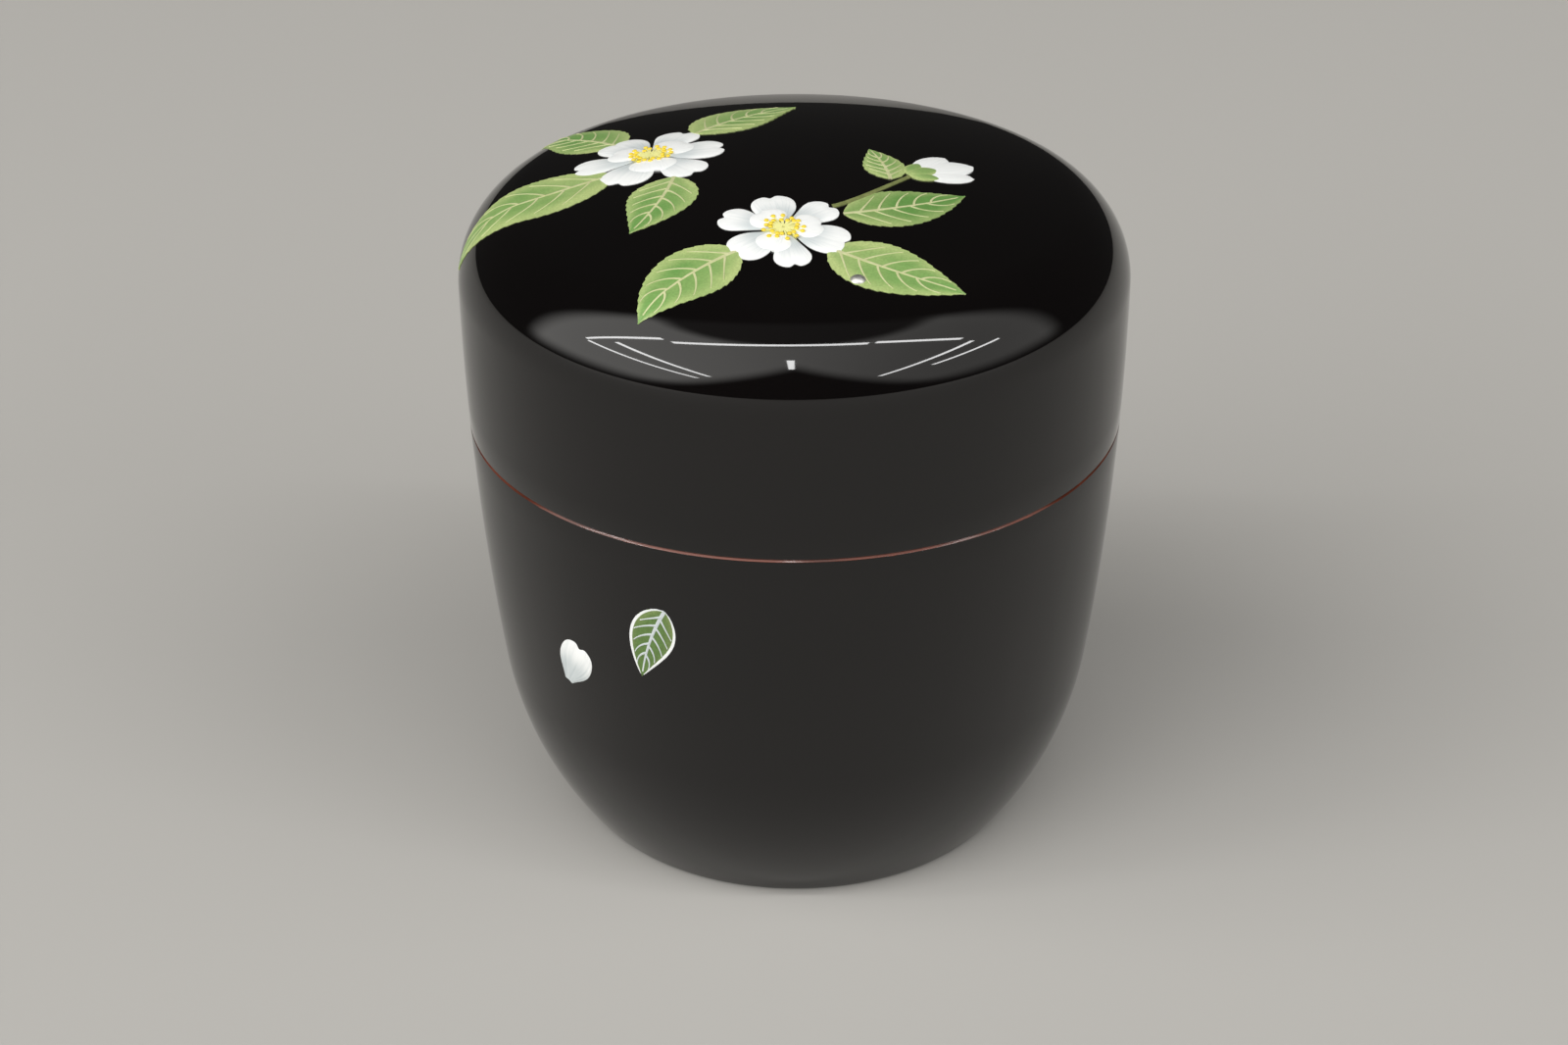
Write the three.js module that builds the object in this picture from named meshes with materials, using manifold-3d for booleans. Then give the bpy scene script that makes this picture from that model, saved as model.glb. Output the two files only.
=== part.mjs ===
// Natsume tea caddy: a turned wooden body, the lid that slips over the body's standing rim, and a
// small bead of silver let into the lid. Millimetres, +Z up, the origin at the middle of the base.

import * as THREE from "three";
import { mergeVertices } from "three/addons/utils/BufferGeometryUtils.js";
import Module from "manifold-3d";

const wasm = await Module();
wasm.setup();

// Outside of the closed caddy: one unbroken outline of touching arcs, through body and lid
const caddyRadius = 33;
const bodyHeight = 44; // base to seam
const lidHeight = 25.8; // seam to the middle of the crown
const widestAboveSeam = 11.5;
const sideArcRadius = 310; // the slight belly of the side
const shoulderArcRadius = 8.5;
const crownArcRadius = 112;
const lowerArcRadius = 38; // draws the body in to its foot
const footInset = 9.4; // the foot's edge, inside the widest radius

// Walls, and the standing rim with its fit in the lid
const lidWall = 1.95; // at the mouth
const ceilingThickness = 3;
const ceilingCornerRadius = 6.3;
const rimClearance = 0.3; // all round, between the rim and the lid's bore
const rimThickness = 1.45;
const rimHeight = 7.5; // above the seam
const rimEdgeRadius = 0.6;
const floorThickness = 3.2;
const floorCornerRadius = 6;

// Foot, and the softened edges on each side of the seam
const footWidth = 2.6;
const footRecess = 0.8; // from the ground up to the base inside the foot
const footRecessSlope = 1.2;
const bodyArris = 0.2; // the brown underlayer shows on this one
const lidArris = 0.15;

// Silver bead, let into the crown with its axis upright
const beadRadius = 0.8;
const beadSideHeight = 0.45;
const beadDomeHeight = 0.45;
const beadInset = 9.5; // the bead's axis, inside the widest radius
const beadTurn = THREE.MathUtils.degToRad(-76); // about the axis, from +X
const beadSeatDepth = 0.5;
const beadSeatClearance = 0.2;
const beadSeatOverrun = 2; // the seat's cutter, above its floor and past the crown

// How finely the round forms are cut
const facetSag = 0.03; // from an arc to its chord
const turnedSteps = 72;
const beadSteps = 24;

const lacquerColour = 0x0b0a0a;
const silverColour = 0xd6d6d2;

// Directions in an outline, as angles from straight outwards
const quarterTurn = Math.PI / 2;
const outwards = 0;
const up = quarterTurn;
const inwards = 2 * quarterTurn;
const down = -quarterTurn;

// Outline points are Vector2: x is the distance from the axis, y the height.
const point = (x, y) => new THREE.Vector2(x, y);

const onCircle = (centre, radius, angle) =>
  point(Math.cos(angle), Math.sin(angle)).multiplyScalar(radius).add(centre);

const angleOf = (centre, other) => Math.atan2(other.y - centre.y, other.x - centre.x);

const angleAtHeight = (centre, radius, height) => Math.asin((height - centre.y) / radius);

// An arc's points after its first one, which the outline already holds.
function arcOn(centre, radius, from, to) {
  const step = 2 * Math.acos(1 - facetSag / radius);
  const steps = Math.ceil(Math.abs(to - from) / step);
  const angles = Array.from({ length: steps }, (_, i) => from + ((to - from) * (i + 1)) / steps);
  return angles.map((angle) => onCircle(centre, radius, angle));
}

// Where two circles cross, to the left of the way from the first centre to the second.
function crossing(centreA, radiusA, centreB, radiusB) {
  const span = centreA.distanceTo(centreB);
  const along = (span ** 2 + radiusA ** 2 - radiusB ** 2) / (2 * span);
  const aside = Math.sqrt(radiusA ** 2 - along ** 2);
  const way = centreB.clone().sub(centreA).divideScalar(span);
  return centreA.clone().addScaledVector(way, along).addScaledVector(point(-way.y, way.x), aside);
}

// Centres of the outside arcs: each smaller arc lies inside the larger one and touches it
const height = bodyHeight + lidHeight;
const footEdge = point(caddyRadius - footInset, 0);
const sideCentre = point(caddyRadius - sideArcRadius, bodyHeight + widestAboveSeam);
const crownCentre = point(0, height - crownArcRadius);
const shoulderCentre = crossing(
  sideCentre,
  sideArcRadius - shoulderArcRadius,
  crownCentre,
  crownArcRadius - shoulderArcRadius,
);
const lowerCentre = crossing(
  sideCentre,
  sideArcRadius - lowerArcRadius,
  footEdge,
  lowerArcRadius,
);
const lowerToSide = angleOf(sideCentre, lowerCentre);
const sideToShoulder = angleOf(sideCentre, shoulderCentre);
const shoulderToCrown = angleOf(crownCentre, shoulderCentre);

const sideAt = (atHeight) =>
  onCircle(sideCentre, sideArcRadius, angleAtHeight(sideCentre, sideArcRadius, atHeight));

// Radii of the fit at the seam, from the outside in
const boreRadius = sideAt(bodyHeight).x - lidWall;
const rimOuterRadius = boreRadius - rimClearance;
const rimInnerRadius = rimOuterRadius - rimThickness;

// A turned piece from its outline, which runs from its underside outwards, up and back in.
function turned(outline, steps) {
  return new THREE.LatheGeometry(outline, steps).rotateX(quarterTurn);
}

function bodyOutline() {
  const rimTop = bodyHeight + rimHeight;
  const rimEdgeHeight = rimTop - rimEdgeRadius;
  const rimBase = point(rimInnerRadius, bodyHeight);
  const innerSideRadius = sideCentre.distanceTo(rimBase);
  const bodyWall = sideArcRadius - innerSideRadius;
  const innerLowerRadius = lowerArcRadius - bodyWall;
  const floorHeight = footRecess + floorThickness;
  const cornerHeight = floorHeight + floorCornerRadius;
  const cornerReach = innerLowerRadius - floorCornerRadius;
  const cornerCentre = onCircle(
    lowerCentre,
    cornerReach,
    angleAtHeight(lowerCentre, cornerReach, cornerHeight),
  );
  const lowerToCorner = angleOf(lowerCentre, cornerCentre);
  const footInner = footEdge.x - footWidth;
  const arrisFoot = angleAtHeight(sideCentre, sideArcRadius, bodyHeight - bodyArris);
  return [
    point(0, footRecess),
    point(footInner - footRecessSlope, footRecess),
    point(footInner, 0),
    footEdge,
    ...arcOn(lowerCentre, lowerArcRadius, angleOf(lowerCentre, footEdge), lowerToSide),
    ...arcOn(sideCentre, sideArcRadius, lowerToSide, arrisFoot),
    point(sideAt(bodyHeight).x - bodyArris, bodyHeight),
    point(rimOuterRadius, bodyHeight),
    point(rimOuterRadius, rimEdgeHeight),
    ...arcOn(point(rimOuterRadius - rimEdgeRadius, rimEdgeHeight), rimEdgeRadius, outwards, up),
    point(rimInnerRadius + rimEdgeRadius, rimTop),
    ...arcOn(point(rimInnerRadius + rimEdgeRadius, rimEdgeHeight), rimEdgeRadius, up, inwards),
    rimBase,
    ...arcOn(sideCentre, innerSideRadius, angleOf(sideCentre, rimBase), lowerToSide),
    ...arcOn(lowerCentre, innerLowerRadius, lowerToSide, lowerToCorner),
    ...arcOn(cornerCentre, floorCornerRadius, lowerToCorner, down),
    point(0, floorHeight),
  ];
}

function lidOutline() {
  const innerCrownRadius = crownArcRadius - ceilingThickness;
  const cornerFromAxis = boreRadius - ceilingCornerRadius;
  const cornerAngle = Math.acos(cornerFromAxis / (innerCrownRadius - ceilingCornerRadius));
  const cornerCentre = onCircle(
    crownCentre,
    innerCrownRadius - ceilingCornerRadius,
    cornerAngle,
  );
  const arrisTop = angleAtHeight(sideCentre, sideArcRadius, bodyHeight + lidArris);
  const widest = Math.min(outwards, sideToShoulder); // a corner there keeps the full width
  return [
    onCircle(crownCentre, innerCrownRadius, up),
    ...arcOn(crownCentre, innerCrownRadius, up, cornerAngle),
    ...arcOn(cornerCentre, ceilingCornerRadius, cornerAngle, outwards),
    point(boreRadius, bodyHeight),
    point(sideAt(bodyHeight).x - lidArris, bodyHeight),
    onCircle(sideCentre, sideArcRadius, arrisTop),
    ...arcOn(sideCentre, sideArcRadius, arrisTop, widest),
    ...arcOn(sideCentre, sideArcRadius, widest, sideToShoulder),
    ...arcOn(shoulderCentre, shoulderArcRadius, sideToShoulder, shoulderToCrown),
    ...arcOn(crownCentre, crownArcRadius, shoulderToCrown, up),
  ];
}

// Bead, standing on the floor of its seat
function beadOutline() {
  const domeRadius = (beadRadius ** 2 + beadDomeHeight ** 2) / (2 * beadDomeHeight);
  const domeCentre = point(0, beadSideHeight + beadDomeHeight - domeRadius);
  const edge = point(beadRadius, beadSideHeight);
  return [
    point(0, 0),
    point(beadRadius, 0),
    edge,
    ...arcOn(domeCentre, domeRadius, angleOf(domeCentre, edge), up),
  ];
}

const beadFromAxis = caddyRadius - beadInset;
const crownAtBead = onCircle(
  crownCentre,
  crownArcRadius,
  Math.acos(beadFromAxis / crownArcRadius),
);
const beadSeat = new THREE.Vector3(
  beadFromAxis * Math.cos(beadTurn),
  beadFromAxis * Math.sin(beadTurn),
  crownAtBead.y - beadSeatDepth,
);

function beadSeatCutter() {
  const cutterRadius = beadRadius + beadSeatClearance;
  const cutterHeight = beadSeatDepth + beadSeatOverrun;
  return new THREE.CylinderGeometry(cutterRadius, cutterRadius, cutterHeight, beadSteps)
    .rotateX(quarterTurn)
    .translate(beadSeat.x, beadSeat.y, beadSeat.z + cutterHeight / 2);
}

function toSolid(geometry) {
  const bare = geometry.clone();
  bare.deleteAttribute("normal");
  bare.deleteAttribute("uv");
  const merged = mergeVertices(bare);
  const mesh = new wasm.Mesh({
    numProp: 3,
    vertProperties: merged.attributes.position.array,
    triVerts: new Uint32Array(merged.index.array),
  });
  return new wasm.Manifold(mesh);
}

function toGeometry(solid) {
  const { vertProperties, triVerts } = solid.getMesh();
  const geometry = new THREE.BufferGeometry();
  geometry.setAttribute("position", new THREE.BufferAttribute(vertProperties, 3));
  geometry.setIndex(new THREE.BufferAttribute(triVerts, 1));
  geometry.computeVertexNormals();
  return geometry;
}

function addPiece(name, geometry, look) {
  const piece = new THREE.Mesh(geometry, new THREE.MeshStandardMaterial(look));
  piece.name = name;
  caddy.add(piece);
  return piece;
}

const caddy = new THREE.Group();
const lacquer = { color: lacquerColour, roughness: 0.07, metalness: 0 };
const silver = { color: silverColour, roughness: 0.25, metalness: 1 };
const lidBlank = toSolid(turned(lidOutline(), turnedSteps));

addPiece("body", turned(bodyOutline(), turnedSteps), lacquer);
addPiece("lid", toGeometry(lidBlank.subtract(toSolid(beadSeatCutter()))), lacquer);
addPiece("dew_bead", turned(beadOutline(), beadSteps), silver).position.copy(beadSeat);

export default caddy;
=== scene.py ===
# Natsume tea caddy in black lacquer with a painted spray of camellias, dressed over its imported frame.
# Metres, +Z up, the origin at the middle of the base; outlines and drawings are in millimetres.

import math
import random

import bmesh
import bpy
from mathutils import Matrix, Vector


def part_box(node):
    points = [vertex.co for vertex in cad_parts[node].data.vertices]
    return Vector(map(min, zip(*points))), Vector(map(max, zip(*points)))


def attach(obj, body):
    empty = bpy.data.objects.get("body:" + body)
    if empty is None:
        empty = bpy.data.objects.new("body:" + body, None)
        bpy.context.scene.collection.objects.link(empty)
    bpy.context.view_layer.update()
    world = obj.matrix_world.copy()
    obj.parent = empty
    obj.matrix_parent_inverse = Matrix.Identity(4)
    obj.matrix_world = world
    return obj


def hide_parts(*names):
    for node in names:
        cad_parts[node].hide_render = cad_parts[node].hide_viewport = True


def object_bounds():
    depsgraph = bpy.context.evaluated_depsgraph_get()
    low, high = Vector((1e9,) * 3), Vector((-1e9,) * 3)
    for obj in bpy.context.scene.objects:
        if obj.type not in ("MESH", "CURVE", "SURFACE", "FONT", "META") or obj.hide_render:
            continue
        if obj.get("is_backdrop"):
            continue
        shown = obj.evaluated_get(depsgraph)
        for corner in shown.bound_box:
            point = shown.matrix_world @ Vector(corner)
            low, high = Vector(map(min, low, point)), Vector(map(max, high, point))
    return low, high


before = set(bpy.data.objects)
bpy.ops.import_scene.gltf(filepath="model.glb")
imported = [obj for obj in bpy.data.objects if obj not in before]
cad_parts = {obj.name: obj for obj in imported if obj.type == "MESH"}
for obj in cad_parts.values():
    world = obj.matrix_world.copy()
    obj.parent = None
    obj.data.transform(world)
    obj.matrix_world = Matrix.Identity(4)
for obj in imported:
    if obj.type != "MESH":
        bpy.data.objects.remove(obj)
cad_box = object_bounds()
scene = bpy.context.scene
scene.view_settings.view_transform = "Standard"


# Camera: it stands 24 cm in front of the caddy's middle and 16 cm above the ground, and looks down on
# the lid by 29 degrees. It is off square and off level by about a third of a degree each, which is
# written in radians.
camera = bpy.data.objects.new("camera", bpy.data.cameras.new("camera"))
camera.data.sensor_width = 36
camera.data.lens = 60.75
camera.data.clip_start = 0.01
camera_place = Vector((0, -0.23993, 0.16449))
look_down = 29.358
off_square = 0.00487
off_level = -0.00631
camera_turn = (
    Matrix.Rotation(off_square, 4, "Z")
    @ Matrix.Rotation(math.radians(90 - look_down), 4, "X")
    @ Matrix.Rotation(off_level, 4, "Z")
)
camera.matrix_world = Matrix.Translation(camera_place) @ camera_turn
scene.collection.objects.link(camera)
scene.camera = camera


# Body: one piece of wood turned on a lathe, hollow above a thick floor, with a thin standing rim
# that the lid slips over. It is coated inside and out in many layers of black lacquer and polished
# to a mirror. On the arris below the seam the polishing has gone through to a brown underlayer.
MM = 0.001
caddy_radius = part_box("lid")[1].x / MM
caddy_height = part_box("lid")[1].z / MM
seam_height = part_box("lid")[0].z / MM
rim_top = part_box("body")[1].z / MM
widest_height = 55.5
side_arc_radius = 310
lower_arc_radius = 38
foot_radius = 23.6
foot_width = 2.6
foot_recess = 0.8
foot_recess_slope = 1.2
foot_softening = 0.35
lid_wall = 1.95
rim_clearance = 0.3
rim_thickness = 1.45
rim_edge_radius = 0.6
floor_height = 4
floor_corner_radius = 6
body_arris = 0.2
body_arris_height = 0.24
body_arris_softening = 0.04
facet_sag = 0.004
turned_segments = 288
merge_distance = 0.001
corner_tolerance = 0.01
sharp_edge_angle = 35

# The ways that an arc's end may lie from its centre, as angles in an outline.
OUTWARDS, UP, INWARDS, DOWN = 0, math.pi / 2, math.pi, -math.pi / 2


def crossing(centre_a, radius_a, centre_b, radius_b):
    """Where two circles cross, to the left of the way from the first centre to the second."""
    way = centre_b - centre_a
    span = way.length
    way.normalize()
    along = (span**2 + radius_a**2 - radius_b**2) / (2 * span)
    aside = math.sqrt(radius_a**2 - along**2)
    return centre_a + along * way + aside * Vector((-way.y, way.x))


def angle_of(centre, point):
    """The way from a centre to a point."""
    return math.atan2(point.y - centre.y, point.x - centre.x)


def on_circle(centre, radius, angle):
    """The point of a circle that lies that way from its centre."""
    return centre + radius * Vector((math.cos(angle), math.sin(angle)))


def at_height(centre, radius, height):
    """The angle at which an upright circle stands at a height, on its outer side."""
    return math.asin((height - centre.y) / radius)


def start(point):
    """Begins an outline, drawn at x as the distance from the axis and z as the height."""
    outline = bmesh.new()
    outline.verts.new((point.x, 0, point.y))
    outline.verts.ensure_lookup_table()
    return outline


def line_to(outline, distance, height):
    """Carries the outline straight on to a point."""
    grown = bmesh.ops.extrude_vert_indiv(outline, verts=[outline.verts[-1]])
    grown["verts"][0].co = (distance, 0, height)
    outline.verts.ensure_lookup_table()


def arc_to(outline, centre, radius, to_angle):
    """Carries the outline on round a centre, as finely as the radius needs."""
    tip = outline.verts[-1]
    turn = to_angle - math.atan2(tip.co.z - centre.y, tip.co.x - centre.x)
    step = 2 * math.acos(1 - facet_sag / radius)
    bmesh.ops.spin(
        outline,
        geom=[tip],
        cent=(centre.x, 0, centre.y),
        axis=(0, -1, 0),
        angle=turn,
        steps=max(2, math.ceil(abs(turn) / step)),
    )
    outline.verts.ensure_lookup_table()


def turn_on_lathe(outline, segments=turned_segments):
    """Spins an outline about the axis into a closed piece."""
    bmesh.ops.spin(
        outline,
        geom=outline.verts[:] + outline.edges[:],
        cent=(0, 0, 0),
        axis=(0, 0, 1),
        angle=math.tau,
        steps=segments,
        use_merge=True,
    )
    bmesh.ops.remove_doubles(outline, verts=outline.verts, dist=merge_distance)
    bmesh.ops.recalc_face_normals(outline, faces=outline.faces)


def soften(turned, distance, height, width, segments=3):
    """Rounds the ring of edges at one corner of a turned piece."""
    corner = Vector((distance, height))
    ring = [
        edge
        for edge in turned.edges
        if all(
            (Vector((v.co.xy.length, v.co.z)) - corner).length < corner_tolerance
            for v in edge.verts
        )
    ]
    bmesh.ops.bevel(
        turned,
        geom=ring,
        offset=width,
        segments=segments,
        profile=0.5,
        affect="EDGES",
        material=-1,
    )


def make_piece(mesh_in_mm, name, body, *materials):
    """Turns a finished mesh into a piece that rides on a body."""
    bmesh.ops.scale(mesh_in_mm, vec=(MM, MM, MM), verts=mesh_in_mm.verts)
    mesh = bpy.data.meshes.new(name)
    mesh_in_mm.to_mesh(mesh)
    mesh_in_mm.free()
    for material in materials:
        mesh.materials.append(material)
    mesh.shade_smooth()
    mesh.set_sharp_from_angle(angle=math.radians(sharp_edge_angle))
    piece = bpy.data.objects.new(name, mesh)
    scene.collection.objects.link(piece)
    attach(piece, body)
    return piece


def linear(colour):
    """An sRGB hex colour as linear red, green, blue and alpha."""
    shares = [int(colour[i : i + 2], 16) / 255 for i in (1, 3, 5)]
    return [c / 12.92 if c <= 0.04045 else ((c + 0.055) / 1.055) ** 2.4 for c in shares] + [1]


def new_material(name):
    """A material that has only its Principled shader yet."""
    material = bpy.data.materials.new(name)
    material.use_nodes = True
    return material


def set_inputs(material, node, inputs):
    """Links the inputs that are given a socket, and sets the others."""
    for name, value in inputs.items():
        if isinstance(value, bpy.types.NodeSocket):
            material.node_tree.links.new(value, node.inputs[name])
        else:
            node.inputs[name].default_value = value


def add(material, kind, inputs=None, **settings):
    """Adds a node with its settings and inputs.

    Inputs of one name go by number: a Mix of colours has its share at 0 and its colours at 6 and 7.
    """
    node = material.node_tree.nodes.new("ShaderNode" + kind)
    for name, value in settings.items():
        setattr(node, name, value)
    set_inputs(material, node, inputs or {})
    return node


def finish_surface(material, inputs):
    """Gives the material's own shader its inputs."""
    set_inputs(material, material.node_tree.nodes["Principled BSDF"], inputs)


# Black urushi, flowed on with a brush, ground flat with charcoal and polished: nearly black right
# through, with a mirror gloss that still waves a little over a centimetre or so.
black_urushi = new_material("black urushi lacquer, polished")
wave_length = 14
wave_height = 0.01
polish_patch_size = 4
place = add(black_urushi, "TexCoord").outputs["Object"]
lacquer_wave = add(
    black_urushi, "TexNoise", {"Vector": place, "Scale": 1 / (wave_length * MM), "Detail": 1}
)
lacquer_polish = add(
    black_urushi, "TexNoise", {"Vector": place, "Scale": 1 / (polish_patch_size * MM), "Detail": 4}
)
lacquer_roughness = add(
    black_urushi,
    "MapRange",
    {
        "Value": lacquer_polish.outputs["Fac"],
        "From Min": 0.3,
        "From Max": 0.7,
        "To Min": 0.015,
        "To Max": 0.045,
    },
)
lacquer_depth = add(
    black_urushi,
    "Mix",
    {0: lacquer_wave.outputs["Fac"], 6: linear("#070606"), 7: linear("#0b0808")},
    data_type="RGBA",
)
lacquer_bump = add(
    black_urushi,
    "Bump",
    {"Height": lacquer_wave.outputs["Fac"], "Strength": 1, "Distance": wave_height * MM},
)
finish_surface(
    black_urushi,
    {
        "Base Color": lacquer_depth.outputs[2],
        "Roughness": lacquer_roughness.outputs["Result"],
        "Normal": lacquer_bump.outputs["Normal"],
        "IOR": 1.5,
    },
)

# Brown underlayer of lacquer and iron red, laid bare in a hairline where the arris was rubbed. It is
# less glossy than the black, and darker where less of the black is gone.
brown_underlayer = new_material("iron red lacquer, rubbed through")
rubbed_patch_size = 11
place = add(brown_underlayer, "TexCoord").outputs["Object"]
rubbing = add(
    brown_underlayer, "TexNoise", {"Vector": place, "Scale": 1 / (rubbed_patch_size * MM), "Detail": 3}
)
rubbing_share = add(
    brown_underlayer,
    "MapRange",
    {"Value": rubbing.outputs["Fac"], "From Min": 0.38, "From Max": 0.6},
)
rubbed_colour = add(
    brown_underlayer,
    "Mix",
    {0: rubbing_share.outputs["Result"], 6: linear("#4a2217"), 7: linear("#703a2b")},
    data_type="RGBA",
)
finish_surface(
    brown_underlayer,
    {"Base Color": rubbed_colour.outputs[2], "Roughness": 0.14, "IOR": 1.53},
)

side_centre = Vector((caddy_radius - side_arc_radius, widest_height))
foot_edge = Vector((foot_radius, 0))
lower_centre = crossing(
    side_centre, side_arc_radius - lower_arc_radius, foot_edge, lower_arc_radius
)
lower_to_side = angle_of(side_centre, lower_centre)
seam_radius = on_circle(
    side_centre, side_arc_radius, at_height(side_centre, side_arc_radius, seam_height)
).x
bore_radius = seam_radius - lid_wall
rim_outer = bore_radius - rim_clearance
rim_inner = rim_outer - rim_thickness
rim_edge_height = rim_top - rim_edge_radius
inner_side_radius = (Vector((rim_inner, seam_height)) - side_centre).length
inner_lower_radius = lower_arc_radius - (side_arc_radius - inner_side_radius)
corner_reach = inner_lower_radius - floor_corner_radius
floor_corner = on_circle(
    lower_centre,
    corner_reach,
    at_height(lower_centre, corner_reach, floor_height + floor_corner_radius),
)
foot_inner = foot_radius - foot_width
arris_foot_angle = at_height(side_centre, side_arc_radius, seam_height - body_arris_height)

outline = start(Vector((0, foot_recess)))
line_to(outline, foot_inner - foot_recess_slope, foot_recess)
line_to(outline, foot_inner, 0)
line_to(outline, foot_radius, 0)
arc_to(outline, lower_centre, lower_arc_radius, lower_to_side)
arc_to(outline, side_centre, side_arc_radius, arris_foot_angle)
line_to(outline, seam_radius - body_arris, seam_height)
line_to(outline, rim_outer, seam_height)
line_to(outline, rim_outer, rim_edge_height)
arc_to(outline, Vector((rim_outer - rim_edge_radius, rim_edge_height)), rim_edge_radius, UP)
line_to(outline, rim_inner + rim_edge_radius, rim_top)
arc_to(outline, Vector((rim_inner + rim_edge_radius, rim_edge_height)), rim_edge_radius, INWARDS)
line_to(outline, rim_inner, seam_height)
arc_to(outline, side_centre, inner_side_radius, lower_to_side)
arc_to(outline, lower_centre, inner_lower_radius, angle_of(lower_centre, floor_corner))
arc_to(outline, floor_corner, floor_corner_radius, DOWN)
line_to(outline, 0, floor_height)
turn_on_lathe(outline)
brown_index = 1
for face in outline.faces:
    middle = face.calc_center_median()
    on_arris = seam_height - body_arris_height < middle.z < seam_height
    if on_arris and middle.xy.length > seam_radius - body_arris:
        face.material_index = brown_index
soften(outline, foot_radius, 0, foot_softening, segments=5)
soften(outline, foot_inner, 0, foot_softening)
soften(outline, foot_inner - foot_recess_slope, foot_recess, foot_softening)
soften(outline, seam_radius - body_arris, seam_height, body_arris_softening)
arris_foot = on_circle(side_centre, side_arc_radius, arris_foot_angle)
soften(outline, arris_foot.x, arris_foot.y, body_arris_softening)

body_shell = make_piece(outline, "body_shell", "body", black_urushi, brown_underlayer)
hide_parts("body")


# Lid: a second piece of the same wood, turned so that its side runs on from the body's without a
# step, with a soft shoulder and a low domed crown. Lacquered as the body is, it rests on the body's
# ledge and is held by its fit round the rim.
shoulder_arc_radius = 8.5
crown_arc_radius = 112
ceiling_thickness = 3
ceiling_corner_radius = 6.3
lid_arris_softening = 0.15

crown_centre = Vector((0, caddy_height - crown_arc_radius))
shoulder_centre = crossing(
    side_centre,
    side_arc_radius - shoulder_arc_radius,
    crown_centre,
    crown_arc_radius - shoulder_arc_radius,
)
side_to_shoulder = angle_of(side_centre, shoulder_centre)
shoulder_to_crown = angle_of(crown_centre, shoulder_centre)
inner_crown_radius = crown_arc_radius - ceiling_thickness
ceiling_reach = inner_crown_radius - ceiling_corner_radius
ceiling_corner_angle = math.acos((bore_radius - ceiling_corner_radius) / ceiling_reach)
ceiling_corner = on_circle(crown_centre, ceiling_reach, ceiling_corner_angle)

outline = start(Vector((0, caddy_height - ceiling_thickness)))
arc_to(outline, crown_centre, inner_crown_radius, ceiling_corner_angle)
arc_to(outline, ceiling_corner, ceiling_corner_radius, OUTWARDS)
line_to(outline, bore_radius, seam_height)
line_to(outline, seam_radius, seam_height)
arc_to(outline, side_centre, side_arc_radius, OUTWARDS)
arc_to(outline, side_centre, side_arc_radius, side_to_shoulder)
arc_to(outline, shoulder_centre, shoulder_arc_radius, shoulder_to_crown)
arc_to(outline, crown_centre, crown_arc_radius, UP)
turn_on_lathe(outline)
soften(outline, bore_radius, seam_height, lid_arris_softening)
soften(outline, seam_radius, seam_height, lid_arris_softening)

lid_shell = make_piece(outline, "lid_shell", "lid", black_urushi)
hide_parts("lid")


# Dew drop: a bead of silver, 1.6 mm across, hammered to a low dome, polished, and glued into a small
# seat in the lid. Its dome stands 0.4 mm clear of the lacquer.
bead_low, bead_high = (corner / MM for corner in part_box("dew_bead"))
bead_radius = (bead_high.x - bead_low.x) / 2
bead_height = bead_high.z - bead_low.z
bead_side_height = 0.45
bead_shoulder_softening = 0.12
bead_segments = 48

# Silver, polished on a cloth: bright and nearly white, with rubbing marks that blur what it mirrors,
# and a little grey tarnish. The marks are drawn some ten times as coarse as real ones, so that they
# show.
polished_silver = new_material("silver, polished")
rubbing_mark_size = 0.25
place = add(polished_silver, "TexCoord").outputs["Object"]
silver_rubbing = add(
    polished_silver, "TexNoise", {"Vector": place, "Scale": 1 / (rubbing_mark_size * MM), "Detail": 3}
)
silver_roughness = add(
    polished_silver,
    "MapRange",
    {"Value": silver_rubbing.outputs["Fac"], "To Min": 0.4, "To Max": 0.6},
)
silver_tone = add(
    polished_silver,
    "Mix",
    {0: silver_rubbing.outputs["Fac"], 6: linear("#c9c8c3"), 7: linear("#f4f3ee")},
    data_type="RGBA",
)
finish_surface(
    polished_silver,
    {
        "Base Color": silver_tone.outputs[2],
        "Roughness": silver_roughness.outputs["Result"],
        "Metallic": 1,
    },
)

dome_rise = bead_height - bead_side_height
dome_radius = (bead_radius**2 + dome_rise**2) / (2 * dome_rise)
dome_centre = Vector((0, bead_height - dome_radius))
outline = start(Vector((0, 0)))
line_to(outline, bead_radius, 0)
line_to(outline, bead_radius, bead_side_height)
arc_to(outline, dome_centre, dome_radius, UP)
turn_on_lathe(outline, bead_segments)
soften(outline, bead_radius, bead_side_height, bead_shoulder_softening)
bead_place = (bead_low + bead_high) / 2
bmesh.ops.translate(outline, vec=(bead_place.x, bead_place.y, bead_low.z), verts=outline.verts)

dew_drop = make_piece(outline, "dew_drop", "lid", polished_silver)
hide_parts("dew_bead")


# Leaves of the painted camellia spray, which run out from under the flowers, one of them down over
# the shoulder. Green pigment was ground into lacquer, laid on in a thin raised coat and rubbed down.
crown_reach = crown_arc_radius * (UP - shoulder_to_crown)
shoulder_reach = crown_reach + shoulder_arc_radius * (shoulder_to_crown - side_to_shoulder)
paint_depth = 0.36
line_edge_drop = 0.02
least_half_width = 0.04
leaf_height = 0.05
leaf_step = 0.035
leaf_swell = 0.14
tooth_spacing = 0.95
tooth_depth = 0.16
first_tooth_share = 0.06
last_tooth_share = 0.95
midrib_width = 0.4
midrib_tip_width = 0.13
midrib_rise = 0.05
midrib_share = 0.93
rib_pairs = 5
rib_width = 0.24
rib_tip_width = 0.08
rib_rise = 0.075
first_rib_share = 0.09
ribs_share = 0.6
rib_stagger = 0.25
rib_lean_share = 0.19
random.seed(7)


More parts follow.
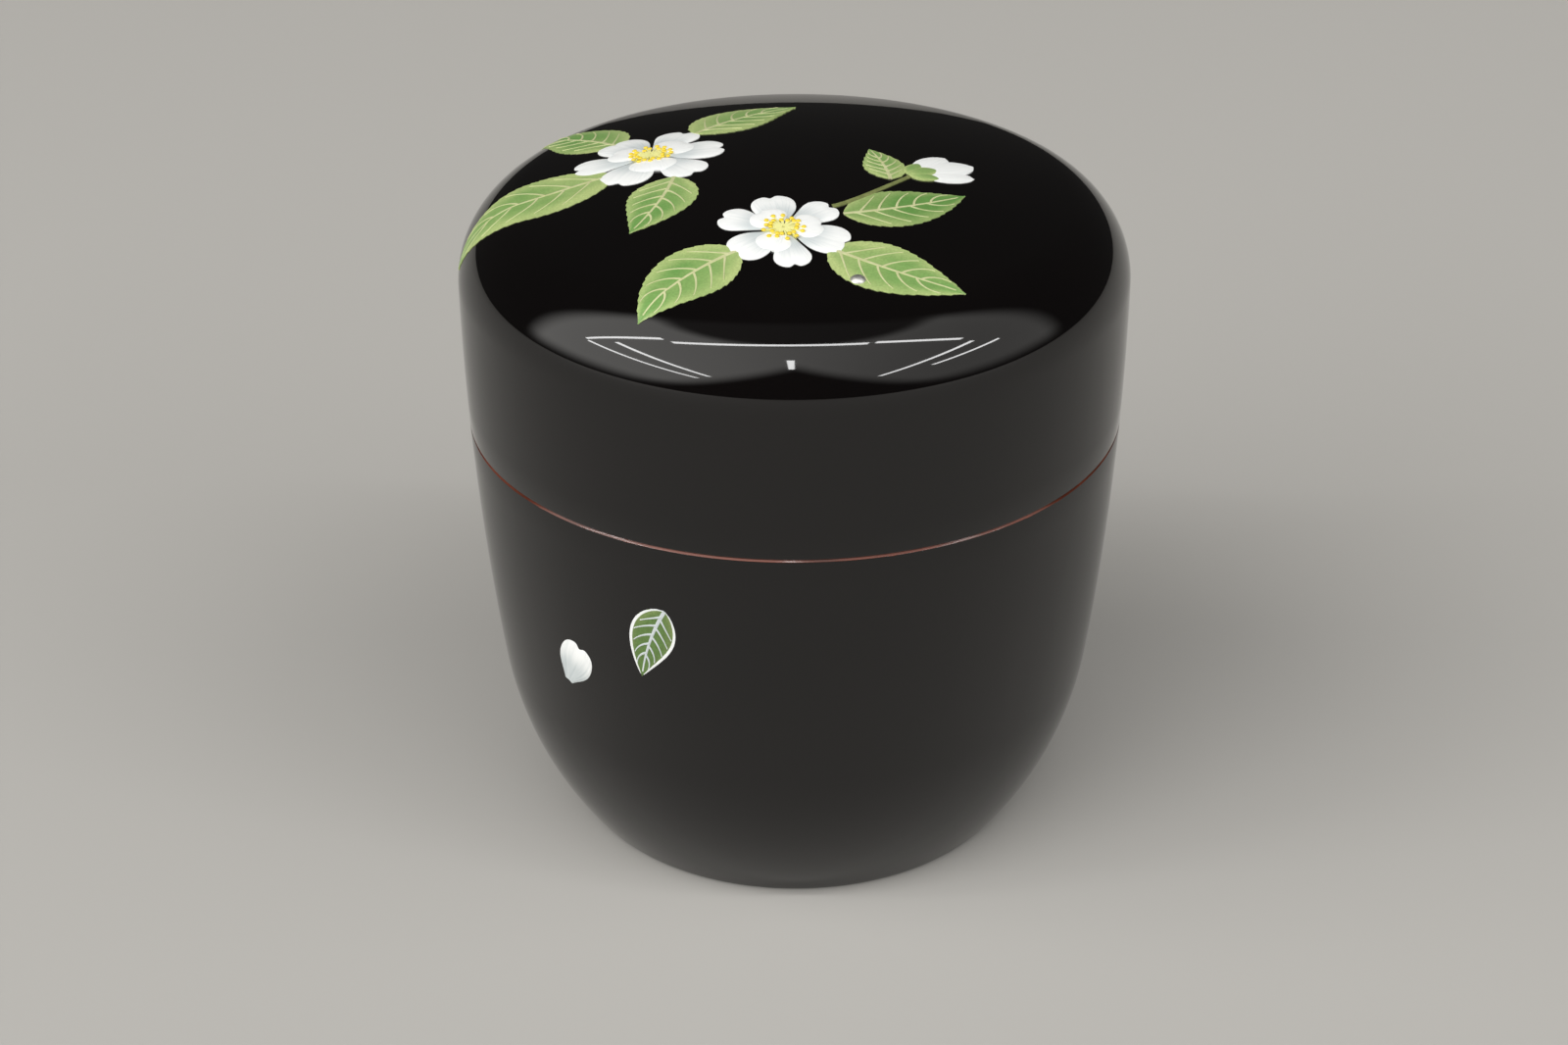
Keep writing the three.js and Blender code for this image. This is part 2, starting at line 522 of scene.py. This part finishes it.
def on_lid(spot):
    """The place on the lid that a flat drawing's spot comes to, its middle laid on the crown's."""
    way = spot.xy.length
    if way < crown_reach:
        centre, radius, angle = crown_centre, crown_arc_radius, UP - way / crown_arc_radius
    elif way < shoulder_reach:
        past = (way - crown_reach) / shoulder_arc_radius
        centre, radius, angle = shoulder_centre, shoulder_arc_radius, shoulder_to_crown - past
    else:
        past = (way - shoulder_reach) / side_arc_radius
        centre, radius, angle = side_centre, side_arc_radius, side_to_shoulder - past
    raised = on_circle(centre, radius + spot.z, angle)
    return Vector((raised.x * spot.x / way, raised.x * spot.y / way, raised.y))


def new_coat():
    """A coat of paint; each point keeps how far along and across its stroke it lies, and a tone."""
    coat = bmesh.new()
    coat.verts.layers.float_vector.new("stroke")
    return coat


def brush(coat, spot, along, across, tone, shape):
    """Lays one touch of paint, whose shape turns shares along and across it into a raised place."""
    stroke = coat.verts.layers.float_vector["stroke"]
    touch = bmesh.ops.create_grid(coat, x_segments=along, y_segments=across, size=0.5)["verts"]
    for v in touch:
        share, side = v.co.x + 0.5, 2 * v.co.y
        v[stroke] = (share, side, tone)
        v.co = spot @ shape(share, side)


def brush_line(coat, spot, steps, tone, way, width, height):
    """Draws a line along a way; its width goes by the share of the way, and its edges lie lower."""
    look_ahead = 0.01

    def shape(share, side):
        ahead = way(min(share + look_ahead, 1)) - way(max(share - look_ahead, 0))
        across = Vector((-ahead.y, ahead.x)).normalized()
        here = way(share) + across * side * width(share) / 2
        return Vector((here.x, here.y, height - line_edge_drop * side**2))

    brush(coat, spot, steps, across=2, tone=tone, shape=shape)


def taper(root_width, tip_width):
    """Gives the width of a line that narrows evenly along its way."""
    return lambda share: root_width + (tip_width - root_width) * share


def heading(x, y, degrees):
    """Where a flat drawing lies, and which way it heads."""
    return Matrix.Translation((x, y, 0)) @ Matrix.Rotation(math.radians(degrees), 4, "Z")


def leaf_place(length, width, bend):
    """Gives the function that turns shares along and across a leaf into a place on its bent blade."""

    def on_leaf(share, side):
        share = min(max(share, 0), 1)
        turn = bend * share
        middle = Vector((math.sin(turn), 1 - math.cos(turn))) * length / bend
        # Widest at two fifths of the way, round at the stalk and drawn out at the tip.
        swell = max(math.sin(math.pi * share**0.82), 0) ** 0.8 * (1 - share) ** 0.22 / 0.9
        half = max(width / 2 * swell, least_half_width)
        return middle + side * half * Vector((-math.sin(turn), math.cos(turn)))

    return on_leaf


def paint_leaf(greens, creams, spot, length, width, bend, tone, level=0):
    """Paints a blade with small teeth, and its ribs; its level lifts it over what it crosses."""
    on_leaf = leaf_place(length, width, bend)
    teeth = round(length / tooth_spacing)
    base_height = leaf_height + leaf_step * level

    def blade(share, side):
        here = on_leaf(share, side)
        if side and first_tooth_share < share < last_tooth_share:
            tooth = tooth_depth * (teeth * share % 1) * abs(side) ** 8
            here += (here - on_leaf(share, 0)).normalized() * tooth
        swell = abs(side) * (1 - abs(side))
        return Vector((here.x, here.y, base_height + leaf_swell * swell))

    brush(greens, spot, along=5 * teeth, across=10, tone=tone, shape=blade)
    brush_line(
        creams,
        spot,
        steps=28,
        tone=tone,
        way=lambda share: on_leaf(midrib_share * share, 0),
        width=taper(midrib_width, midrib_tip_width),
        height=base_height + midrib_rise,
    )
    for rib in range(rib_pairs):
        for side in (-1, 1):
            place_in_row = (rib + rib_stagger * (side > 0)) / (rib_pairs - 1 + rib_stagger)
            root = first_rib_share + ribs_share * place_in_row
            reach = random.uniform(0.8, 0.9)
            brush_line(
                creams,
                spot,
                steps=10,
                tone=tone,
                way=lambda share: on_leaf(root + rib_lean_share * share**1.35, side * reach * share),
                width=taper(rib_width, rib_tip_width),
                height=base_height + rib_rise,
            )


def lay_coat(coat, surface):
    """Gives a flat coat its thickness, which goes down into the lacquer, and bends it on."""
    underside = coat.verts[:]
    bmesh.ops.extrude_face_region(coat, geom=coat.faces[:])
    bmesh.ops.translate(coat, vec=(0, 0, -paint_depth), verts=underside)
    for v in coat.verts:
        v.co = surface(v.co)


# Green pigment in lacquer: a satin coat, deep green in the middle of the leaf and paling to yellow
# green towards its edges and stalk, a little patchy where the powder lies thicker, and darker on a
# leaf whose tone is below zero, partly a duller olive and partly painted shade for the leaf on the
# body's upright side, which the light reaches less. Its grain is drawn about four times as coarse as
# the real powder's, so that it shows.
leaf_green = new_material("green pigment lacquer, rubbed down")
powder_patch_size = 2.4
powder_grain_size = 0.2
powder_grain_height = 0.02
place = add(leaf_green, "TexCoord").outputs["Object"]
leaf_stroke = add(
    leaf_green,
    "SeparateXYZ",
    {0: add(leaf_green, "Attribute", attribute_name="stroke").outputs["Vector"]},
)
powder = add(
    leaf_green, "TexNoise", {"Vector": place, "Scale": 1 / (powder_patch_size * MM), "Detail": 5}
)
powder_grain = add(
    leaf_green, "TexNoise", {"Vector": place, "Scale": 1 / (powder_grain_size * MM), "Detail": 2}
)
from_rib = add(leaf_green, "Math", {0: leaf_stroke.outputs["Y"]}, operation="ABSOLUTE")
pale_by_edge = add(
    leaf_green,
    "MapRange",
    {"Value": from_rib.outputs[0], "From Min": 0.35, "From Max": 1.05, "To Max": 0.75},
    interpolation_type="SMOOTHSTEP",
)
pale_by_stalk = add(
    leaf_green,
    "MapRange",
    {"Value": leaf_stroke.outputs["X"], "From Min": 0.5, "From Max": 0, "To Max": 0.6},
    interpolation_type="SMOOTHSTEP",
)
paleness = add(
    leaf_green,
    "Math",
    {0: pale_by_edge.outputs["Result"], 1: pale_by_stalk.outputs["Result"]},
    operation="ADD",
)
toned = add(
    leaf_green,
    "Math",
    {0: paleness.outputs[0], 1: leaf_stroke.outputs["Z"]},
    operation="ADD",
)
patchy = add(
    leaf_green,
    "Math",
    {0: powder.outputs["Fac"], 1: 0.9, 2: toned.outputs[0]},
    operation="MULTIPLY_ADD",
)
patchiness = add(
    leaf_green,
    "MapRange",
    {"Value": patchy.outputs[0], "From Min": 0.35, "From Max": 1.6},
)
leaf_colour = add(
    leaf_green,
    "Mix",
    {0: patchiness.outputs["Result"], 6: linear("#6ca052"), 7: linear("#bdcf88")},
    data_type="RGBA",
)
grain_share = add(
    leaf_green,
    "MapRange",
    {"Value": powder_grain.outputs["Fac"], "From Min": 0.35, "From Max": 0.65, "To Max": 0.22},
)
# Painted shade, partly a duller olive: a leaf whose tone is below zero is darkened towards the olive
# colour.
dulled_and_shaded_leaf = add(
    leaf_green,
    "MapRange",
    {"Value": leaf_stroke.outputs["Z"], "From Min": 0, "From Max": -0.5, "To Max": 0.6},
)
dark_share = add(
    leaf_green,
    "Math",
    {0: grain_share.outputs["Result"], 1: dulled_and_shaded_leaf.outputs["Result"]},
    operation="ADD",
)
leaf_grained_and_shaded = add(
    leaf_green,
    "Mix",
    {0: dark_share.outputs[0], 6: leaf_colour.outputs[2], 7: linear("#55622f")},
    data_type="RGBA",
)
leaf_bump = add(
    leaf_green,
    "Bump",
    {
        "Height": powder_grain.outputs["Fac"],
        "Strength": 0.5,
        "Distance": powder_grain_height * MM,
    },
)
finish_surface(
    leaf_green,
    {
        "Base Color": leaf_grained_and_shaded.outputs[2],
        "Roughness": 0.38,
        "Normal": leaf_bump.outputs["Normal"],
        "IOR": 1.53,
    },
)

# Cream lacquer for the ribs, drawn with a fine brush in raised lines: satin, and greener here and
# there, where the leaf shows through it.
cream_line = new_material("cream lacquer, brushed line")
cream_patch_size = 1.1
place = add(cream_line, "TexCoord").outputs["Object"]
cream_depth = add(
    cream_line, "TexNoise", {"Vector": place, "Scale": 1 / (cream_patch_size * MM), "Detail": 3}
)
cream_colour = add(
    cream_line,
    "Mix",
    {0: cream_depth.outputs["Fac"], 6: linear("#b9bd85"), 7: linear("#dfe1b4")},
    data_type="RGBA",
)
finish_surface(cream_line, {"Base Color": cream_colour.outputs[2], "Roughness": 0.35, "IOR": 1.53})

greens = new_coat()
creams = new_coat()
for x, y, degrees, length, width, bend, tone, level in (
    (-17.5, -0.5, 203, 19.0, 8.6, -0.35, 0.3, 0),
    (-17.5, 7.5, 126, 12.5, 7.2, 0.4, 0.0, 0),
    (-9.8, 8.6, 52, 13.5, 7.0, -0.35, 0.25, 1),
    (-11.5, -3.0, 262, 11.5, 6.6, -0.4, 0.1, 0),
    (-5.0, -18.3, 213, 13.0, 7.4, 0.4, 0.15, 0),
    (3.2, -18.2, -33, 13.6, 7.4, 0.3, 0.2, 0),
    (4.6, -12.0, 14, 13.0, 6.6, 0.4, -0.1, 0),
    (9.2, -4.2, 96, 7.4, 4.0, 0.3, 0.2, 1),
):
    paint_leaf(greens, creams, heading(x, y, degrees), length, width, bend, tone, level)
lay_coat(greens, on_lid)
lay_coat(creams, on_lid)
lid_leaves = make_piece(greens, "lid_leaves", "lid", leaf_green)
lid_leaf_ribs = make_piece(creams, "lid_leaf_ribs", "lid", cream_line)


# Two white camellias on the lid: each has six broad petals with a hair of black left bare between
# them, three smaller ones inside, and a tuft of yellow stamens. The white is built up in relief.
petal_root = 1.3
petal_coat = 0.07
petal_cup = 0.06
petal_bulge = 0.07
petal_sway = 0.05
petal_corner_share = 0.16
notch_depth_share = 0.07
notch_width_share = 0.15
flower_across_share = 0.93
stamen_count = 26
stamen_sway = 0.08
stamen_height = 0.33
thread_root = 0.15
thread_width = 0.2
thread_tip_width = 0.14
anther_radius = 0.25
anther_flatness_share = 0.5


def petal_place(reach, middle, spread, bulge, gap, height):
    """Gives the shape of a petal seen from above: a fan with round corners and a notch in its end."""

    def shape(share, side):
        notch = notch_depth_share * math.exp(-((side / notch_width_share) ** 2))
        edge = reach * (1 - petal_corner_share * abs(side) ** 3 - notch)
        way = petal_root + (edge - petal_root) * share
        # The fan closes towards its end, and less so in a petal that bulges.
        closing = (0.2 - 0.9 * bulge) * share**4
        fan = (spread + bulge * math.sin(math.pi * share)) * (1 - closing)
        angle = middle + side * (fan - gap / way)
        # The coat is full up to just inside the petal's edge, and rises a little along its middle.
        inside = (1 - side**6) * (1 - share**12)
        cup = (1 - side**2) * math.sin(math.pi * share)
        lift = height + petal_coat * inside + petal_cup * cup
        return Vector((way * math.cos(angle), way * math.sin(angle), lift))

    return shape


def paint_camellia(whites, threads, anthers, x, y, radius, degrees):
    """Paints a flower, a little narrower one way: two rings of petals, and then its stamens."""
    spot = heading(x, y, degrees) @ Matrix.Diagonal((1, flower_across_share, 1, 1))
    for count, share_of_radius, first, spread, height, tone, gap in (
        (6, 1, 0, 0.52, 0.06, 0, 0.13),
        (3, 0.6, 0.52, 0.77, 0.17, 0.6, 0),
    ):
        for i in range(count):
            bulge = petal_bulge if i % 2 == 0 else -petal_bulge
            middle = first + math.tau / count * i + random.uniform(-petal_sway, petal_sway)
            reach = radius * share_of_radius * random.uniform(0.95, 1.02)
            petal = petal_place(reach, middle, spread, bulge, gap, height)
            brush(whites, spot, along=16, across=24, tone=tone, shape=petal)
    for i in range(stamen_count):
        angle = math.tau * i / stamen_count + random.uniform(-stamen_sway, stamen_sway)
        tip = radius * (random.uniform(0.25, 0.32) if i % 2 else random.uniform(0.17, 0.23))
        way = Vector((math.cos(angle), math.sin(angle)))
        brush_line(
            threads,
            spot,
            steps=5,
            tone=0,
            way=lambda share: way * (thread_root + (tip - thread_root) * share),
            width=taper(thread_width, thread_tip_width),
            height=stamen_height,
        )
        stroke = anthers.verts.layers.float_vector["stroke"]
        anther = bmesh.ops.create_icosphere(anthers, subdivisions=2, radius=anther_radius)["verts"]
        anther_place = (
            spot
            @ Matrix.Translation((way.x * tip, way.y * tip, stamen_height))
            @ Matrix.Diagonal((1, 1, anther_flatness_share, 1))
        )
        for v in anther:
            v[stroke] = (1, 0, 1)
            v.co = anther_place @ v.co


# White pigment in lacquer, ground from shell: satin, pure white at the petals' ends and greyed with a
# painted shade to a cool grey towards their roots, deepest on the outer ring where the inner petals lie
# over it, with faint streaks that the brush left along each petal. Places across a petal are counted in
# its half widths, so the streaks' scale is a half width over a streak's width.
petal_white = new_material("white pigment lacquer, raised")
petal_half_width = 3
brush_streak_width = 0.33
streak_stretch = 0.12
petal_stroke = add(
    petal_white,
    "SeparateXYZ",
    {0: add(petal_white, "Attribute", attribute_name="stroke").outputs["Vector"]},
)
along_streaks = add(
    petal_white, "Math", {0: petal_stroke.outputs["X"], 1: streak_stretch}, operation="MULTIPLY"
)
streak_place = add(
    petal_white,
    "CombineXYZ",
    {
        "X": petal_stroke.outputs["Y"],
        "Y": along_streaks.outputs[0],
        "Z": petal_stroke.outputs["Z"],
    },
)
streaks = add(
    petal_white,
    "TexNoise",
    {
        "Vector": streak_place.outputs[0],
        "Scale": petal_half_width / brush_streak_width,
        "Detail": 3,
    },
)
from_root = add(
    petal_white,
    "Math",
    {0: petal_stroke.outputs["X"], 1: petal_stroke.outputs["Z"]},
    operation="ADD",
)
# Painted shade: a cool grey towards each petal's root, less on the inner petals, whose tone is higher.
root_shade = add(
    petal_white,
    "MapRange",
    {"Value": from_root.outputs[0], "From Min": 0.8, "From Max": 0.3, "To Max": 0.6},
    interpolation_type="SMOOTHSTEP",
)
streak_shade = add(
    petal_white,
    "MapRange",
    {"Value": streaks.outputs["Fac"], "From Min": 0.5, "From Max": 0.75, "To Max": 0.3},
)
petal_shade = add(
    petal_white,
    "Math",
    {0: root_shade.outputs["Result"], 1: streak_shade.outputs["Result"]},
    operation="ADD",
)
petal_colour = add(
    petal_white,
    "Mix",
    {0: petal_shade.outputs[0], 6: linear("#fbfdfc"), 7: linear("#b2bfc2")},
    data_type="RGBA",
)
finish_surface(
    petal_white, {"Base Color": petal_colour.outputs[2], "Roughness": 0.4, "IOR": 1.53}
)

# Yellow pigment in lacquer for the stamens, pale on the threads and strong on their heads.
stamen_yellow = new_material("yellow pigment lacquer")
stamen_stroke = add(
    stamen_yellow,
    "SeparateXYZ",
    {0: add(stamen_yellow, "Attribute", attribute_name="stroke").outputs["Vector"]},
)
stamen_colour = add(
    stamen_yellow,
    "Mix",
    {0: stamen_stroke.outputs["Z"], 6: linear("#f3f0a0"), 7: linear("#f0d33c")},
    data_type="RGBA",
)
finish_surface(
    stamen_yellow, {"Base Color": stamen_colour.outputs[2], "Roughness": 0.4, "IOR": 1.53}
)

whites = new_coat()
threads = new_coat()
anthers = new_coat()
paint_camellia(whites, threads, anthers, x=-14.0, y=3.0, radius=7.6, degrees=8)
paint_camellia(whites, threads, anthers, x=-1.0, y=-15.0, radius=6.7, degrees=100)
lay_coat(whites, on_lid)
lay_coat(threads, on_lid)
for v in anthers.verts:
    v.co = on_lid(v.co)
lid_petals = make_piece(whites, "lid_petals", "lid", petal_white)
lid_stamens = make_piece(threads, "lid_stamens", "lid", stamen_yellow)
lid_anthers = make_piece(anthers, "lid_anthers", "lid", stamen_yellow)


# A camellia bud on a short twig at the right of the lid, half out of its green scales. The twig is one
# stroke of a fine brush. Over its end lie three closed petals in raised white and three green scales.
twig_reach = 8.2
twig_width = 0.6
twig_tip_width = 0.45
twig_height = 0.1
bud_coat = 0.1
scales_setback = 0.5


def teardrop(length, width, sharpness):
    """Gives the shape of a closed petal or a scale, round at its root and drawn to a tip."""

    def shape(share, side):
        swell = max(math.sin(math.pi * share**sharpness), 0) ** 0.6
        half = max(width / 2 * swell, least_half_width)
        return Vector((length * share, side * half, bud_coat * swell * (1 - side**2)))

    return shape


# Olive brown lacquer for the twig: satin, and mottled light and dark as bark is.
twig_olive = new_material("olive brown lacquer, brushed line")
bark_patch_size = 0.7
place = add(twig_olive, "TexCoord").outputs["Object"]
bark = add(
    twig_olive, "TexNoise", {"Vector": place, "Scale": 1 / (bark_patch_size * MM), "Detail": 3}
)
bark_colour = add(
    twig_olive,
    "Mix",
    {0: bark.outputs["Fac"], 6: linear("#4f5a2f"), 7: linear("#9aa066")},
    data_type="RGBA",
)
finish_surface(twig_olive, {"Base Color": bark_colour.outputs[2], "Roughness": 0.4, "IOR": 1.53})

twigs = new_coat()
bud_whites = new_coat()
bud_greens = new_coat()
bud_spot = heading(11.4, -2.6, 30)
brush_line(
    twigs,
    heading(3.6, -10.6, 0),
    steps=20,
    tone=0,
    way=lambda share: Vector((twig_reach * share, twig_reach * share**1.25)),
    width=taper(twig_width, twig_tip_width),
    height=twig_height,
)
for degrees, length, width, height in (
    (26, 6.0, 3.0, 0.05),
    (-26, 6.0, 3.0, 0.06),
    (0, 7.0, 3.5, 0.09),
):
    petal = teardrop(length, width, sharpness=1.15)
    turned = bud_spot @ Matrix.Translation((0, 0, height)) @ heading(0, 0, degrees)
    brush(bud_whites, turned, along=16, across=8, tone=0.45, shape=petal)
for degrees, length, width, height in (
    (38, 3.0, 1.8, 0.1),
    (-38, 3.0, 1.8, 0.11),
    (0, 3.3, 2.0, 0.15),
):
    bud_scale = teardrop(length, width, sharpness=0.9)
    turned = bud_spot @ Matrix.Translation((-scales_setback, 0, height)) @ heading(0, 0, degrees)
    brush(bud_greens, turned, along=12, across=6, tone=0.35, shape=bud_scale)
for coat in (twigs, bud_whites, bud_greens):
    lay_coat(coat, on_lid)
lid_twig = make_piece(twigs, "lid_twig", "lid", twig_olive)
lid_bud_petals = make_piece(bud_whites, "lid_bud_petals", "lid", petal_white)
lid_bud_scales = make_piece(bud_greens, "lid_bud_scales", "lid", leaf_green)


# A fallen leaf and a fallen petal on the front of the body, left of its middle, as if they had
# dropped from the lid. They are painted in the same raised coats, and the leaf is edged in white. The
# leaf is darker than those on the lid: partly a duller olive, partly painted shade for the body's
# upright side, which the light reaches less.
fallen_length = 8.6
fallen_width = 4.4
fallen_bend = 0.35
# The fallen leaf's low tone darkens it: partly a duller olive, partly painted shade for the body's
# upright side.
fallen_leaf_olive_and_shade_tone = -0.45
edging_width = 0.3
edging_end_width = 0.08
edging_height = 0.08
edging_share = 0.97


def on_body(spot):
    """The place on the body's side at a way round from the front, and at a height."""
    angle = at_height(side_centre, side_arc_radius, spot.y)
    raised = on_circle(side_centre, side_arc_radius + spot.z, angle)
    azimuth = spot.x / raised.x - math.pi / 2
    return Vector((raised.x * math.cos(azimuth), raised.x * math.sin(azimuth), raised.y))


def edging_width_at(share):
    """The edging is widest half way along the leaf and narrows to both its ends."""
    swell = math.sin(math.pi * share) ** 0.5
    return edging_end_width + (edging_width - edging_end_width) * swell


fallen_greens = new_coat()
fallen_whites = new_coat()
fallen_spot = heading(-12.5, 37.0, -118)
paint_leaf(
    fallen_greens,
    fallen_whites,
    fallen_spot,
    fallen_length,
    fallen_width,
    fallen_bend,
    fallen_leaf_olive_and_shade_tone,
)
fallen_edge = leaf_place(fallen_length, fallen_width, fallen_bend)
for side in (-1, 1):
    brush_line(
        fallen_whites,
        fallen_spot,
        steps=24,
        tone=0.5,
        way=lambda share: fallen_edge(edging_share * share, side),
        width=edging_width_at,
        height=edging_height,
    )
petal = petal_place(reach=6.6, middle=0, spread=0.42, bulge=0.12, gap=0, height=0.03)
brush(fallen_whites, heading(-25.0, 23.5, 68), along=16, across=24, tone=-0.05, shape=petal)
lay_coat(fallen_greens, on_body)
lay_coat(fallen_whites, on_body)
fallen_leaf = make_piece(fallen_greens, "fallen_leaf", "body", leaf_green)
fallen_petal = make_piece(fallen_whites, "fallen_petal_and_edging", "body", petal_white)


# Floor and light: a plain pale floor, a soft glow from the front half of the room, fuller at its sides
# and on the left, and rows of tube lamps on the ceiling, which draw the bright lines along the lid's
# shoulder. Behind the caddy it is dark, so that the crown stays black.
floor_reach = 4
upward_weight = 1.3
dim_room_level = 0.03
tube_height = 1.2
tube_brightness = 17

floor_sheet = bmesh.new()
bmesh.ops.create_grid(floor_sheet, x_segments=1, y_segments=1, size=floor_reach)
floor_mesh = bpy.data.meshes.new("floor")
floor_sheet.to_mesh(floor_mesh)
floor_sheet.free()
floor = bpy.data.objects.new("floor", floor_mesh)
scene.collection.objects.link(floor)
floor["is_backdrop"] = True

# Pale paper, plain and with hardly any sheen.
floor_paper = new_material("floor, matt pale paper")
finish_surface(floor_paper, {"Base Color": linear("#b8b6b2"), "Roughness": 0.9})
floor_mesh.materials.append(floor_paper)

glow = bpy.data.worlds.new("room glow")
scene.world = glow
glow.use_nodes = True
direction = add(glow, "SeparateXYZ", {0: add(glow, "TexCoord").outputs["Generated"]})
sideways = add(glow, "Math", {0: direction.outputs["X"]}, operation="ABSOLUTE")
up_or_aside = add(
    glow,
    "Math",
    {0: direction.outputs["Z"], 1: upward_weight, 2: sideways.outputs[0]},
    operation="MULTIPLY_ADD",
)

# The glow is the product of five fades: none of it comes from low in the middle of the front, from
# behind or from below the horizon, little from overhead, and more from the left than from the right.
brightness = 1
for way, dark_at, full_at, least, most in (
    (up_or_aside.outputs[0], 0.68, 0.94, 0, 1),
    (direction.outputs["Y"], 0.16, -0.02, 0, 1),
    (direction.outputs["Z"], -0.02, 0.2, 0, 1),
    (direction.outputs["Z"], 0.93, 0.87, 0.1, 1.7),
    (direction.outputs["X"], 0.9, -0.9, 0.5, 1.2),
):
    share = add(
        glow,
        "MapRange",
        {"Value": way, "From Min": dark_at, "From Max": full_at, "To Min": least, "To Max": most},
        interpolation_type="SMOOTHSTEP",
    )
    product = add(glow, "Math", {0: brightness, 1: share.outputs["Result"]}, operation="MULTIPLY")
    brightness = product.outputs[0]
lit_room = add(glow, "Math", {0: brightness, 1: dim_room_level}, operation="ADD")
set_inputs(
    glow,
    glow.node_tree.nodes["Background"],
    {"Color": linear("#fdfbf7"), "Strength": lit_room.outputs[0]},
)

# Each tube is as bright as the next, whatever its length and width.
for x, y, length, width, turn in (
    (-1.55, -0.5, 1.5, 0.055, 3),
    (-0.18, -0.55, 1.18, 0.055, 1),
    (0.87, -0.54, 0.84, 0.055, -3),
    (-1.5, -1.65, 2, 0.1, 95),
    (-2.15, -1.85, 2.5, 0.13, 101),
    (1.5, -1.65, 2, 0.1, 85),
    (2.15, -1.25, 1.3, 0.13, 79),
    (-0.03, -1.35, 0.5, 0.06, 90),
):
    lamp = bpy.data.lights.new("tube", "AREA")
    lamp.shape = "RECTANGLE"
    lamp.size = length
    lamp.size_y = width
    lamp.energy = tube_brightness * math.pi * length * width
    tube = bpy.data.objects.new("tube", lamp)
    tube.matrix_world = heading(x, y, turn) @ Matrix.Translation((0, 0, tube_height))
    scene.collection.objects.link(tube)

for name, box in (("cad", cad_box), ("visual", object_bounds())):
    print(name, [list(corner) for corner in box])
